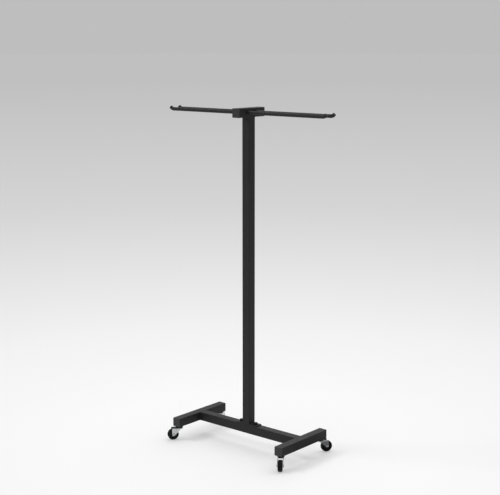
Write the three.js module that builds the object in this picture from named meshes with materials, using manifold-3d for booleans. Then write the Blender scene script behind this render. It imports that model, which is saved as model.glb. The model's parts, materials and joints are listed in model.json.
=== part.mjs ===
// Rolling display stand with two pairs of prongs on a square post.
// Millimetres, +Z up. The floor is z = 0, the post stands on the Z axis, the prongs run along X,
// and the front of the stand faces -Y.
import * as THREE from "three";
import { mergeVertices } from "three/addons/utils/BufferGeometryUtils.js";
import Module from "manifold-3d";

const wasm = await Module();
wasm.setup();

// Stand as a whole
const baseWidth = 400; // over both feet, along X
const footLength = 200; // over the end caps, along Y
const headHeight = 953; // floor to the top of the head
const headLength = 106; // over the end caps, along Y
const fitGap = 0.3; // between pieces that slide, turn or plug into each other
const cutOverrun = 1; // how far a cutter reaches past what it cuts

// Square tube of the feet, crossbeam, post and head
const tubeSize = 25;
const tubeWall = 1.2;
const tubeCorner = 1.5; // outside radius

// Plastic end caps
const capHead = 2; // thickness that shows
const capWall = 1.6;
const headPlugDepth = 12;

// Prongs, round rod with an upturned tip
const rodDiameter = 10;
const prongSpacing = 34; // between the two rod centres of a pair
const prongStraight = 250; // from the head to the bend
const bendRadius = 15; // at the rod's centre
const bendAngle = THREE.MathUtils.degToRad(40);
const tipLength = 3; // straight end past the bend

// Flange plate under the post, and the two bolts through it
const plateLength = 76;
const plateThickness = 3;
const plateCorner = 3;
const boltSpacing = 52;
const boltDiameter = 6;
const boltHeadFlats = 10;
const boltHeadHeight = 4;
const boltNutHeight = 5; // weld nuts inside the crossbeam
const boltEnd = 2; // thread past its nut
const washerDiameter = 12;
const washerThickness = 1.6;

// Wheels
const wheelDiameter = 32;
const wheelWidth = 12;
const coreDiameter = 24;
const coreWidth = 10;
const coreRecess = 2.5; // depth of the dish between hub and rim, each side
const rimThickness = 2;
const hubDiameter = 10;
const treadShoulder = 2.2; // rounding of the tyre's edges
const wheelSideGap = 1; // wheel to fork leg
const wheelTopGap = 1.6; // wheel to fork crown
const axleDiameter = 5;
const axleHeadDiameter = 8;
const axleHeadHeight = 1.4;

// Caster forks and their swivels
const forkSheet = 1.6;
const forkBend = 2.6; // outside radius between crown and legs
const forkCornerRadius = 2.2; // top rear corners of the legs
const crownDiameter = 21;
const legEndRadius = 4.2; // round end of a leg about the axle
const legFront = 3; // from the swivel axis forwards to the top of a leg's slanted edge
const crownSkirt = 2.4; // depth of the leg below the crown at its front
const casterTrail = 18.5; // swivel axis to axle
const casterInset = 12.5; // swivel axis in from the end of the foot
const restAngles = { leftFront: 235, rightFront: 303, leftBack: 114, rightBack: 60 }; // trail, from X
const ballDiameter = 2.2;
const ballCircle = 13;
const cageWidth = 1.8;
const cageThickness = 1;
const cupDiameter = 20;
const cupSheet = 1.2;
const stemDiameter = 8;
const stemHeadDiameter = 12;
const stemHeadHeight = 1.8;
const stemNutFlats = 13;
const stemNutHeight = 6.5;
const stemEnd = 2; // thread past its nut
const stemNutRoom = 0.5; // between the nut and the end cap's plug

// Facet counts
const wheelSides = 24;
const roundSides = 16;
const smallSides = 12;
const cornerSides = 4;
const bendSteps = 6;
const ballCount = 8;
const ballRings = 4;
const ballSides = 6;

// Heights, from the floor up
const axleHeight = (wheelDiameter / 2) * Math.cos(Math.PI / wheelSides); // a flat of the tyre rests
const crownUnderside = axleHeight + wheelDiameter / 2 + wheelTopGap;
const crownTop = crownUnderside + forkSheet;
const ballHeight = crownTop + fitGap + ballDiameter / 2;
const cupUnderside = ballHeight + ballDiameter / 2 + fitGap;
const baseUnderside = cupUnderside + cupSheet;
const baseTop = baseUnderside + tubeSize;
const plateTop = baseTop + plateThickness;
const headUnderside = headHeight - tubeSize;
const prongHeight = headHeight - tubeSize / 2;

// Places of the feet, casters and bolts
const footX = baseWidth / 2 - tubeSize / 2;
const casterY = footLength / 2 - casterInset;
const boltX = boltSpacing / 2;
const footPlugDepth = casterInset - capHead - stemNutFlats / 2 - stemNutRoom;
const tubeInside = tubeSize - 2 * tubeWall;

const quarterTurn = Math.PI / 2;
const stand = new THREE.Group();

// Each finish makes a fresh material, so that every mesh has its own
const powderCoat = () =>
  new THREE.MeshStandardMaterial({ color: 0x2c2d2f, roughness: 0.55, metalness: 0.15 });
const blackPlastic = () =>
  new THREE.MeshStandardMaterial({ color: 0x26272a, roughness: 0.6, metalness: 0 });
const blackSteel = () =>
  new THREE.MeshStandardMaterial({ color: 0x131415, roughness: 0.4, metalness: 0.6 });
const zincPlate = () =>
  new THREE.MeshStandardMaterial({ color: 0xc6c9cc, roughness: 0.28, metalness: 1 });
const wheelPlastic = () =>
  new THREE.MeshStandardMaterial({ color: 0x1c1c1e, roughness: 0.5, metalness: 0 });
const tyreRubber = () =>
  new THREE.MeshStandardMaterial({ color: 0x101011, roughness: 0.75, metalness: 0 });

function addPart(parent, name, geometry, material) {
  const mesh = new THREE.Mesh(geometry, material);
  mesh.name = name;
  parent.add(mesh);
  return mesh;
}

// Solids for joining and cutting, and back
function toSolid(geometry) {
  const bare = geometry.clone();
  bare.deleteAttribute("normal");
  bare.deleteAttribute("uv");
  const merged = mergeVertices(bare);
  return new wasm.Manifold(
    new wasm.Mesh({
      numProp: 3,
      vertProperties: merged.attributes.position.array,
      triVerts: new Uint32Array(merged.index.array),
    }),
  );
}

function toGeometry(solid) {
  const mesh = solid.getMesh();
  const geometry = new THREE.BufferGeometry();
  geometry.setAttribute("position", new THREE.BufferAttribute(mesh.vertProperties, mesh.numProp));
  geometry.setIndex(new THREE.BufferAttribute(mesh.triVerts, 1));
  geometry.computeVertexNormals();
  return geometry;
}

function cut(body, cutters) {
  let solid = toSolid(body);
  for (const cutter of cutters) {
    solid = solid.subtract(toSolid(cutter));
  }
  return toGeometry(solid);
}

// A rectangle with round corners, centred, as a shape or as a hole in one
function roundedRectangle(path, width, height, radius) {
  const x = width / 2 - radius;
  const y = height / 2 - radius;
  path.absarc(x, y, radius, 0, quarterTurn);
  path.absarc(-x, y, radius, quarterTurn, 2 * quarterTurn);
  path.absarc(-x, -y, radius, 2 * quarterTurn, 3 * quarterTurn);
  path.absarc(x, -y, radius, 3 * quarterTurn, 4 * quarterTurn);
  return path;
}

function extrude(shape, depth) {
  return new THREE.ExtrudeGeometry(shape, {
    depth,
    curveSegments: cornerSides / 2,
    bevelEnabled: false,
  });
}

// A round bar from one height to another, on the Z axis
function uprightBar(diameter, bottom, top, sides) {
  const bar = new THREE.CylinderGeometry(diameter / 2, diameter / 2, top - bottom, sides);
  return bar.rotateX(quarterTurn).translate(0, 0, (top + bottom) / 2);
}

// A hexagonal bar with two of its flats facing along Y
function uprightHexagon(flats, bottom, top) {
  const corners = (2 * flats) / Math.sqrt(3);
  return uprightBar(corners, bottom, top, 6).rotateZ(quarterTurn / 3);
}

// Turned about Z from a closed outline of [radius, height] pairs, counterclockwise in that plane
function turned(outline, sides) {
  const points = [...outline, outline[0]].map(([r, z]) => new THREE.Vector2(r, z));
  return new THREE.LatheGeometry(points, sides).rotateX(quarterTurn);
}

// Turned about the axle, along Y, with a flat facing down
function turnedOnAxle(outline, sides) {
  const points = [...outline, outline[0]].map(([r, y]) => new THREE.Vector2(r, y));
  return new THREE.LatheGeometry(points, sides, Math.PI / sides);
}

// Square tube centred on the origin, lying along Z
function squareTube(length) {
  const section = roundedRectangle(new THREE.Shape(), tubeSize, tubeSize, tubeCorner);
  const bore = tubeCorner - tubeWall;
  section.holes.push(roundedRectangle(new THREE.Path(), tubeInside, tubeInside, bore));
  return extrude(section, length).translate(0, 0, -length / 2);
}

// End cap whose head lies on z = 0 and whose hollow plug reaches down
function endCap(plugDepth) {
  const plugSize = tubeInside - 2 * fitGap;
  const plugCorner = tubeCorner - tubeWall;
  const hollowSize = plugSize - 2 * capWall;
  const head = extrude(
    roundedRectangle(new THREE.Shape(), tubeSize, tubeSize, tubeCorner),
    capHead,
  );
  const plug = roundedRectangle(new THREE.Shape(), plugSize, plugSize, plugCorner);
  plug.holes.push(roundedRectangle(new THREE.Path(), hollowSize, hollowSize, plugCorner));
  const walls = extrude(plug, plugDepth + capHead / 2).translate(0, 0, -plugDepth);
  return toGeometry(toSolid(head).add(toSolid(walls)));
}

// Base: two feet along Y and the crossbeam between them
function addBase() {
  const middle = baseUnderside + tubeSize / 2;
  const tubeLength = footLength - 2 * capHead;
  for (const [side, sideName] of [[-1, "left"], [1, "right"]]) {
    const foot = squareTube(tubeLength)
      .rotateX(quarterTurn)
      .translate(side * footX, 0, middle);
    const holes = [-1, 1].map((end) =>
      uprightBar(
        stemDiameter + 2 * fitGap,
        baseUnderside - cutOverrun,
        baseUnderside + tubeWall + cutOverrun,
        roundSides,
      ).translate(side * footX, end * casterY, 0),
    );
    addPart(stand, `foot_tube_${sideName}`, cut(foot, holes), powderCoat());
    for (const [end, endName] of [[-1, "front"], [1, "back"]]) {
      const cap = endCap(footPlugDepth)
        .rotateX(-end * quarterTurn)
        .translate(side * footX, (end * tubeLength) / 2, middle);
      addPart(stand, `foot_cap_${sideName}_${endName}`, cap, blackPlastic());
    }
  }
  const beam = squareTube(baseWidth - 2 * tubeSize)
    .rotateY(quarterTurn)
    .translate(0, 0, middle);
  const boltHoles = [-1, 1].map((side) =>
    uprightBar(
      boltDiameter + 2 * fitGap,
      baseTop - tubeWall - cutOverrun,
      baseTop + cutOverrun,
      smallSides,
    ).translate(side * boltX, 0, 0),
  );
  addPart(stand, "base_crossbeam", cut(beam, boltHoles), powderCoat());
}

// Post, its flange plate and the bolts that hold the plate down on the crossbeam
function addPost() {
  const plate = extrude(
    roundedRectangle(new THREE.Shape(), plateLength, tubeSize, plateCorner),
    plateThickness,
  ).translate(0, 0, baseTop);
  const holes = [-1, 1].map((side) =>
    uprightBar(
      boltDiameter + 2 * fitGap,
      baseTop - cutOverrun,
      plateTop + cutOverrun,
      smallSides,
    ).translate(side * boltX, 0, 0),
  );
  addPart(stand, "post_flange_plate", cut(plate, holes), powderCoat());
  const post = squareTube(headUnderside - plateTop).translate(0, 0, (headUnderside + plateTop) / 2);
  addPart(stand, "post_tube", post, powderCoat());
  for (const [side, sideName] of [[-1, "left"], [1, "right"]]) {
    addFlangeBolt(side * boltX, sideName);
  }
}

function addFlangeBolt(x, sideName) {
  const headUnder = plateTop + washerThickness;
  const nutTop = baseTop - tubeWall;
  const nutBottom = nutTop - boltNutHeight;
  const bore = boltDiameter / 2 + fitGap;
  const washer = turned(
    [
      [bore, plateTop],
      [washerDiameter / 2, plateTop],
      [washerDiameter / 2, headUnder],
      [bore, headUnder],
    ],
    roundSides,
  ).translate(x, 0, 0);
  addPart(stand, `flange_washer_${sideName}`, washer, blackSteel());
  const head = uprightHexagon(boltHeadFlats, headUnder, headUnder + boltHeadHeight);
  const shank = uprightBar(
    boltDiameter,
    nutBottom - boltEnd,
    headUnder + boltHeadHeight / 2,
    smallSides,
  );
  const bolt = toGeometry(toSolid(head).add(toSolid(shank))).translate(x, 0, 0);
  addPart(stand, `flange_bolt_${sideName}`, bolt, blackSteel());
  const nut = cut(uprightHexagon(boltHeadFlats, nutBottom, nutTop), [
    uprightBar(2 * bore, nutBottom - cutOverrun, nutTop + cutOverrun, smallSides),
  ]).translate(x, 0, 0);
  addPart(stand, `beam_nut_${sideName}`, nut, zincPlate());
}

// Centre line of a prong: straight along X, round the bend, then the short tip.
// Its stations are one straight, the steps of the bend and the tip, not equal lengths.
class ProngLine extends THREE.Curve {
  getUtoTmapping(u) {
    return u;
  }

  turnAt(t) {
    const station = t * (bendSteps + 2) - 1;
    return bendAngle * THREE.MathUtils.clamp(station / bendSteps, 0, 1);
  }

  getPoint(t, target = new THREE.Vector3()) {
    const turn = this.turnAt(t);
    const station = t * (bendSteps + 2);
    const before = prongStraight * Math.min(station, 1);
    const after = tipLength * Math.max(station - 1 - bendSteps, 0);
    return target.set(
      before + bendRadius * Math.sin(turn) + after * Math.cos(turn),
      0,
      bendRadius * (1 - Math.cos(turn)) + after * Math.sin(turn),
    );
  }

  getTangent(t, target = new THREE.Vector3()) {
    const turn = this.turnAt(t);
    return target.set(Math.cos(turn), 0, Math.sin(turn));
  }
}

// Head: crossbar on the post, capped at both ends, with two prongs on each side
function addHead() {
  const tubeLength = headLength - 2 * capHead;
  const bar = squareTube(tubeLength).rotateX(quarterTurn).translate(0, 0, prongHeight);
  addPart(stand, "head_crossbar", bar, powderCoat());
  const section = new THREE.Shape().absarc(0, 0, rodDiameter / 2, 0, 2 * Math.PI);
  const rod = new THREE.ExtrudeGeometry(section, {
    steps: bendSteps + 2,
    curveSegments: roundSides / 2,
    extrudePath: new ProngLine(),
  });
  for (const [end, endName] of [[-1, "front"], [1, "back"]]) {
    const cap = endCap(headPlugDepth)
      .rotateX(-end * quarterTurn)
      .translate(0, (end * tubeLength) / 2, prongHeight);
    addPart(stand, `head_cap_${endName}`, cap, blackPlastic());
    for (const [side, sideName] of [[-1, "left"], [1, "right"]]) {
      const prong = rod
        .clone()
        .rotateZ(side < 0 ? Math.PI : 0)
        .translate((side * tubeSize) / 2, (end * prongSpacing) / 2, prongHeight);
      addPart(stand, `prong_${sideName}_${endName}`, prong, powderCoat());
    }
  }
}

// Stamped fork: a round crown and two legs that slant back to the axle, which trails along +X
function forkGeometry() {
  const legInside = wheelWidth / 2 + wheelSideGap;
  const legOutside = legInside + forkSheet;
  const rear = casterTrail + legEndRadius;
  const front = crownDiameter / 2;
  const bottom = axleHeight - legEndRadius;
  const insideBend = forkBend - forkSheet;

  // Bent sheet seen from behind: y across, z up
  const channel = new THREE.Shape();
  channel.moveTo(legInside, bottom - cutOverrun);
  channel.lineTo(legOutside, bottom - cutOverrun);
  channel.absarc(legOutside - forkBend, crownTop - forkBend, forkBend, 0, quarterTurn);
  channel.absarc(forkBend - legOutside, crownTop - forkBend, forkBend, quarterTurn, 2 * quarterTurn);
  channel.lineTo(-legOutside, bottom - cutOverrun);
  channel.lineTo(-legInside, bottom - cutOverrun);
  channel.absarc(insideBend - legInside, crownTop - forkBend, insideBend, 2 * quarterTurn, quarterTurn, true);
  channel.absarc(legInside - insideBend, crownTop - forkBend, insideBend, quarterTurn, 0, true);
  const bent = extrude(channel, front + rear)
    .rotateX(quarterTurn)
    .rotateZ(quarterTurn)
    .translate(-front, 0, 0);

  // Seen from the side: x back, z up
  const slant = Math.atan2(crownUnderside - crownSkirt - axleHeight, casterTrail + legFront);
  const side = new THREE.Shape();
  side.moveTo(-front, crownTop + cutOverrun);
  side.lineTo(-front, crownUnderside - crownSkirt);
  side.lineTo(-legFront, crownUnderside - crownSkirt);
  side.absarc(casterTrail, axleHeight, legEndRadius, Math.PI + quarterTurn - slant, 2 * Math.PI);
  side.absarc(rear - forkCornerRadius, crownTop - forkCornerRadius, forkCornerRadius, 0, quarterTurn);
  side.lineTo(casterTrail, crownTop);
  side.lineTo(casterTrail, crownTop + cutOverrun);
  const profile = extrude(side, 2 * legOutside + 2 * cutOverrun)
    .rotateX(quarterTurn)
    .translate(0, legOutside + cutOverrun, 0);

  // Seen from above: the round crown and the two legs behind it
  const plan = new THREE.Shape();
  plan.absarc(0, 0, front, Math.asin(legOutside / front), 2 * Math.PI - Math.asin(legOutside / front));
  plan.lineTo(rear, -legOutside);
  plan.lineTo(rear, -legInside);
  plan.lineTo(Math.sqrt(front ** 2 - legInside ** 2), -legInside);
  plan.absarc(0, 0, front, -Math.asin(legInside / front), Math.asin(legInside / front));
  plan.lineTo(rear, legInside);
  plan.lineTo(rear, legOutside);
  const outline = new THREE.ExtrudeGeometry(plan, {
    depth: crownTop + cutOverrun,
    curveSegments: smallSides / 2,
    bevelEnabled: false,
  });

  const kingHole = uprightBar(
    stemDiameter + 2 * fitGap,
    crownUnderside - cutOverrun,
    crownTop + cutOverrun,
    smallSides,
  );
  const axleHole = new THREE.CylinderGeometry(
    axleDiameter / 2 + fitGap,
    axleDiameter / 2 + fitGap,
    2 * legOutside + 2 * cutOverrun,
    smallSides,
  ).translate(casterTrail, 0, axleHeight);
  return toGeometry(
    toSolid(bent)
      .intersect(toSolid(profile))
      .intersect(toSolid(outline))
      .subtract(toSolid(kingHole))
      .subtract(toSolid(axleHole)),
  );
}

// Balls in their cage, which run between the crown and the cup
function ballRingGeometry() {
  const middle = ballCircle / 2;
  const bottom = ballHeight - cageThickness / 2;
  const top = ballHeight + cageThickness / 2;
  let ring = toSolid(
    turned(
      [
        [middle - cageWidth / 2, bottom],
        [middle + cageWidth / 2, bottom],
        [middle + cageWidth / 2, top],
        [middle - cageWidth / 2, top],
      ],
      ballCount,
    ),
  );
  for (let i = 0; i < ballCount; i++) {
    const ball = new THREE.SphereGeometry(ballDiameter / 2, ballSides, ballRings)
      .rotateX(quarterTurn)
      .translate(middle, 0, ballHeight)
      .rotateZ((2 * Math.PI * i) / ballCount);
    ring = ring.add(toSolid(ball));
  }
  return toGeometry(ring);
}

// Pressed cup with its roof against the foot
function cupGeometry() {
  const outside = cupDiameter / 2;
  const inside = outside - cupSheet;
  const rim = crownTop + fitGap;
  const bore = stemDiameter / 2 + fitGap;
  return turned(
    [
      [bore, cupUnderside],
      [inside - cupSheet, cupUnderside],
      [inside, cupUnderside - cupSheet],
      [inside, rim],
      [outside, rim],
      [outside, cupUnderside - cupSheet / 2],
      [outside - cupSheet, baseUnderside],
      [bore, baseUnderside],
    ],
    roundSides,
  );
}

// Stem: riveted head under the crown, plain through the swivel, then the thread in the foot
function stemGeometry() {
  const headTop = crownUnderside - fitGap;
  const top = baseUnderside + tubeWall + stemNutHeight + stemEnd;
  const head = stemHeadDiameter / 2;
  const radius = stemDiameter / 2;
  const chamfer = stemHeadHeight / 2;
  const points = [
    [0, headTop - stemHeadHeight],
    [head - chamfer, headTop - stemHeadHeight],
    [head, headTop - chamfer],
    [head, headTop],
    [radius, headTop],
    [radius, top - chamfer],
    [radius - chamfer, top],
    [0, top],
  ].map(([r, z]) => new THREE.Vector2(r, z));
  return new THREE.LatheGeometry(points, smallSides).rotateX(quarterTurn);
}

function stemNutGeometry() {
  const bottom = baseUnderside + tubeWall;
  const top = bottom + stemNutHeight;
  return cut(uprightHexagon(stemNutFlats, bottom, top), [
    uprightBar(stemDiameter + 2 * fitGap, bottom - cutOverrun, top + cutOverrun, smallSides),
  ]);
}

// Wheel core: hub, dished web and rim
function coreGeometry() {
  const bore = axleDiameter / 2 + fitGap;
  const hub = hubDiameter / 2;
  const hubHalf = wheelWidth / 2 + wheelSideGap - fitGap;
  const rim = coreDiameter / 2 - rimThickness;
  const half = coreWidth / 2;
  const web = half - coreRecess;
  return turnedOnAxle(
    [
      [bore, -hubHalf],
      [hub, -hubHalf],
      [hub, -web],
      [rim, -web],
      [rim, -half],
      [coreDiameter / 2, -half],
      [coreDiameter / 2, half],
      [rim, half],
      [rim, web],
      [hub, web],
      [hub, hubHalf],
      [bore, hubHalf],
    ],
    wheelSides,
  ).translate(casterTrail, 0, axleHeight);
}

function tyreGeometry() {
  const inside = coreDiameter / 2 + fitGap;
  const outside = wheelDiameter / 2;
  const half = wheelWidth / 2;
  const shoulder = treadShoulder * (1 - Math.SQRT1_2);
  return turnedOnAxle(
    [
      [inside, -half],
      [outside - treadShoulder, -half],
      [outside - shoulder, shoulder - half],
      [outside, treadShoulder - half],
      [outside, half - treadShoulder],
      [outside - shoulder, half - shoulder],
      [outside - treadShoulder, half],
      [inside, half],
    ],
    wheelSides,
  ).translate(casterTrail, 0, axleHeight);
}

// Axle: a rivet through the legs and the hub, closed to a low round head outside each leg
function axleGeometry() {
  const legOutside = wheelWidth / 2 + wheelSideGap + forkSheet;
  const seat = legOutside + fitGap;
  const end = seat + axleHeadHeight;
  const head = axleHeadDiameter / 2;
  const radius = axleDiameter / 2;
  const chamfer = axleHeadHeight / 2;
  const points = [
    [0, -end],
    [head - chamfer, -end],
    [head, chamfer - end],
    [head, -seat],
    [radius, -seat],
    [radius, seat],
    [head, seat],
    [head, end - chamfer],
    [head - chamfer, end],
    [0, end],
  ].map(([r, y]) => new THREE.Vector2(r, y));
  return new THREE.LatheGeometry(points, smallSides).translate(casterTrail, 0, axleHeight);
}

// Casters, alike, each turned so that its wheel trails outwards
function addCasters() {
  const pieces = [
    ["caster_stem", stemGeometry(), zincPlate],
    ["stem_nut", stemNutGeometry(), zincPlate],
    ["caster_cup", cupGeometry(), blackSteel],
    ["caster_ball_ring", ballRingGeometry(), zincPlate],
    ["caster_fork", forkGeometry(), zincPlate],
    ["caster_axle", axleGeometry(), zincPlate],
    ["wheel_core", coreGeometry(), wheelPlastic],
    ["wheel_tyre", tyreGeometry(), tyreRubber],
  ];
  const places = [
    ["left_front", -footX, -casterY, restAngles.leftFront],
    ["right_front", footX, -casterY, restAngles.rightFront],
    ["left_back", -footX, casterY, restAngles.leftBack],
    ["right_back", footX, casterY, restAngles.rightBack],
  ];
  for (const [place, x, y, restAngle] of places) {
    const angle = THREE.MathUtils.degToRad(restAngle);
    const caster = new THREE.Group();
    caster.position.set(x, y, 0);
    caster.rotation.z = angle;
    stand.add(caster);
    for (const [name, geometry, finish] of pieces) {
      const piece = addPart(caster, `${name}_${place}`, geometry, finish());
      // The nut inside the foot stays square to the tube
      if (name === "stem_nut") piece.rotation.z = -angle;
    }
  }
}

addBase();
addPost();
addHead();
addCasters();

export default stand;
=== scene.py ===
import json
import math

import bmesh
import bpy
from mathutils import Matrix, Vector


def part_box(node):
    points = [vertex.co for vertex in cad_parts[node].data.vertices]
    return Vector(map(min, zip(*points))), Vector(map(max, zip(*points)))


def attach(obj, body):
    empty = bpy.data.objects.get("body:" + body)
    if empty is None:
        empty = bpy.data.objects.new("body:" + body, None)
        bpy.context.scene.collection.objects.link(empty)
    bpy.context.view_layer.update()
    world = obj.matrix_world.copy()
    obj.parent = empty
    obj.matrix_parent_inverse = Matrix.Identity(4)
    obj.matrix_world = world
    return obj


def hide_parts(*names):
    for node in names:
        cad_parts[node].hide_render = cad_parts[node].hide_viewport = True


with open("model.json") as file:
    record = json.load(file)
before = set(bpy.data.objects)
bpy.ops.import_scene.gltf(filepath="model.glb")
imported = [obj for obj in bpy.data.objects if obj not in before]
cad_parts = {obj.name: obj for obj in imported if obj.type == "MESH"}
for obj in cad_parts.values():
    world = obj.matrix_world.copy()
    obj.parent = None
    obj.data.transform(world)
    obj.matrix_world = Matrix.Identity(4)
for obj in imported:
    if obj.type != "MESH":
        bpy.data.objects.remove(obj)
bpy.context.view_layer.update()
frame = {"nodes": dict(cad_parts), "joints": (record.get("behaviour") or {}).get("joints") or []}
mm = 0.001  # sizes of pieces are in mm, those of the stage and the camera in metres
mergeDistance = 0.001 * mm
facing = 0.9  # the least share of a normal or an edge that lies along an axis
sides = ("left", "right")
ends = ("front", "back")
casterPlaces = ("left_front", "right_front", "left_back", "right_back")
print("frame loaded,", len(frame["nodes"]), "nodes")


# Reading the frame

# foot_cap_left_front becomes footCapLeftFront
def pieceName(node):
    words = node.split("_")
    return words[0] + "".join(word.title() for word in words[1:])


# The middle of a node's box, at a given height
def middleOf(node, height=0):
    low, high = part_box(node)
    return Vector(((low.x + high.x) / 2, (low.y + high.y) / 2, height))


# Working in edit mode

def clearSelection():
    bpy.ops.object.select_all(action="DESELECT")


def activate(piece):
    clearSelection()
    piece.select_set(True)
    bpy.context.view_layer.objects.active = piece


def editMode():
    bpy.ops.object.mode_set(mode="EDIT")


def objectMode():
    bpy.ops.object.mode_set(mode="OBJECT")


# Selects the faces, edges or vertices that pass the test, and nothing else
def pick(kind, test):
    bpy.ops.mesh.select_mode(type=kind)
    bpy.ops.mesh.select_all(action="DESELECT")
    mesh = bmesh.from_edit_mesh(bpy.context.edit_object.data)
    items = {"VERT": mesh.verts, "EDGE": mesh.edges, "FACE": mesh.faces}[kind]
    for item in items:
        if test(item):
            item.select_set(True)
    mesh.select_flush_mode()
    bmesh.update_edit_mesh(bpy.context.edit_object.data)


def edgeMiddle(edge):
    return (edge.verts[0].co + edge.verts[1].co) / 2


# True for an edge that runs along X, Y or Z (axis 0, 1 or 2)
def runsAlong(edge, axis):
    step = edge.verts[1].co - edge.verts[0].co
    return abs(step[axis]) > facing * step.length


def extrudeFaces(move):
    bpy.ops.mesh.extrude_region_move(TRANSFORM_OT_translate={"value": move})


def applyModifier(piece, kind, **settings):
    modifier = piece.modifiers.new(kind.title(), kind)
    for setting, value in settings.items():
        setattr(modifier, setting, value)
    activate(piece)
    bpy.ops.object.modifier_apply(modifier=modifier.name)


# A new object gets its name, and its place goes into its mesh
def settle(name):
    piece = bpy.context.active_object
    piece.name = piece.data.name = name
    bpy.ops.object.transform_apply(location=True, rotation=True, scale=True)
    return piece


def addBlock(name, low, high):
    clearSelection()
    low, high = Vector(low), Vector(high)
    bpy.ops.mesh.primitive_cube_add(size=1, location=(low + high) / 2)
    bpy.context.active_object.scale = high - low
    return settle(name)


# A rod along X, Y or Z, about its centre
def addRod(name, centre, radius, length, axis=2, corners=48):
    clearSelection()
    turn = {0: (0, math.pi / 2, 0), 1: (math.pi / 2, 0, 0), 2: (0, 0, 0)}[axis]
    bpy.ops.mesh.primitive_cylinder_add(
        vertices=corners, radius=radius, depth=length, location=centre, rotation=turn)
    return settle(name)


# One vertex drawn out through a list of points
def drawLine(name, points):
    clearSelection()
    bpy.ops.mesh.primitive_plane_add(size=mm, location=points[0])
    piece = settle(name)
    editMode()
    bpy.ops.mesh.select_mode(type="VERT")
    bpy.ops.mesh.select_all(action="SELECT")
    bpy.ops.mesh.merge(type="CENTER")
    for last, point in zip(points, points[1:]):
        step = Vector(point) - Vector(last)
        bpy.ops.mesh.extrude_vertices_move(TRANSFORM_OT_translate={"value": step})
    return piece


# Points of an arc, for outlines; angles in degrees
def arc(centre, radius, start, end, steps):
    angles = [math.radians(start + (end - start) * i / steps) for i in range(steps + 1)]
    return [(centre[0] + radius * math.cos(a), centre[1] + radius * math.sin(a)) for a in angles]


# A closed outline, given in mm in the plane across the axis, drawn and extruded
def addOutline(name, outline, axis, start, end):
    def place(u, v, w):
        return Vector({0: (w, u, v), 1: (u, w, v), 2: (u, v, w)}[axis]) * mm
    piece = drawLine(name, [place(u, v, start) for u, v in outline])
    bpy.ops.mesh.select_all(action="SELECT")
    bpy.ops.mesh.edge_face_add()
    extrudeFaces(place(0, 0, end - start))
    bpy.ops.mesh.select_all(action="SELECT")
    bpy.ops.mesh.normals_make_consistent(inside=False)
    objectMode()
    return piece


# A profile in mm, pairs of radius and height, turned about Z or about Y
def addTurned(name, profile, centre=(0, 0, 0), axis=2, steps=64, closed=True):
    centre = Vector(centre)
    if closed:
        profile = profile + profile[:1]
    if axis == 2:
        points = [centre + Vector((r, 0, h)) * mm for r, h in profile]
    else:
        points = [centre + Vector((r, h, 0)) * mm for r, h in profile]
    piece = drawLine(name, points)
    bpy.ops.mesh.select_all(action="SELECT")
    bpy.ops.mesh.remove_doubles(threshold=mergeDistance)
    bpy.ops.mesh.select_all(action="SELECT")
    direction = (0, 0, 1) if axis == 2 else (0, 1, 0)
    bpy.ops.mesh.spin(steps=steps, angle=2 * math.pi, center=centre, axis=direction)
    bpy.ops.mesh.select_all(action="SELECT")
    bpy.ops.mesh.remove_doubles(threshold=mergeDistance)
    bpy.ops.mesh.normals_make_consistent(inside=False)
    objectMode()
    return piece


def combine(piece, other, operation):
    applyModifier(piece, "BOOLEAN", object=other, operation=operation, solver="EXACT")
    bpy.data.objects.remove(other, do_unlink=True)


# A round hole about a point, with its diameter and depth in mm
def drill(piece, centre, diameter, depth, axis=2):
    combine(piece, addRod("drill", centre, diameter / 2 * mm, depth * mm, axis), "DIFFERENCE")


# Rounds every edge sharper than the angle
def roundEdges(piece, width, angle=40, segments=2):
    applyModifier(
        piece, "BEVEL", width=width * mm, segments=segments, limit_method="ANGLE",
        angle_limit=math.radians(angle), use_clamp_overlap=True)


def finishShading(piece, angle=32, weight=80):
    activate(piece)
    bpy.ops.object.shade_smooth_by_angle(angle=math.radians(angle))
    applyModifier(piece, "WEIGHTED_NORMAL", keep_sharp=True, weight=weight)


# Finishes: each look gives sizes in mm, scales per metre, and spans as positions on a ramp

def newMaterial(name, look):
    material = bpy.data.materials.new(name)
    material.use_nodes = True
    shader = material.node_tree.nodes["Principled BSDF"]
    shader.inputs["Metallic"].default_value = look["metallic"]
    shader.inputs["IOR"].default_value = look["ior"]
    shader.inputs["Specular IOR Level"].default_value = look["specular"]
    return material, shader


def addNode(material, kind, **values):
    node = material.node_tree.nodes.new("ShaderNode" + kind)
    for name, value in values.items():
        if name in node.inputs:
            node.inputs[name].default_value = value
        else:
            setattr(node, name, value)
    return node


def wire(material, source, target):
    material.node_tree.links.new(source, target)


def objectPlace(material):
    return addNode(material, "TexCoord").outputs["Object"]


def addNoise(material, coordinates, scale, detail=2.0, roughness=0.5):
    noise = addNode(material, "TexNoise", Scale=scale, Detail=detail, Roughness=roughness)
    wire(material, coordinates, noise.inputs["Vector"])
    return noise.outputs["Fac"]


# A ramp from one value or colour to another between the two positions of the span
def addRamp(material, source, span, start, end):
    def colour(value):
        return (*value, 1) if isinstance(value, tuple) else (value, value, value, 1)
    ramp = addNode(material, "ValToRGB")
    for stop, position, value in zip(ramp.color_ramp.elements, span, (start, end)):
        stop.position = position
        stop.color = colour(value)
    wire(material, source, ramp.inputs["Fac"])
    return ramp.outputs["Color"]


# The mottled colour of a finish
def addTone(material, source, look, span=(0.35, 0.65)):
    return addRamp(material, source, span, look["deep"], look["pale"])


# The mottled roughness of a finish
def addRoughness(material, source, look, span=(0.3, 0.7)):
    return addRamp(material, source, span, look["roughLow"], look["roughHigh"])


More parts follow.
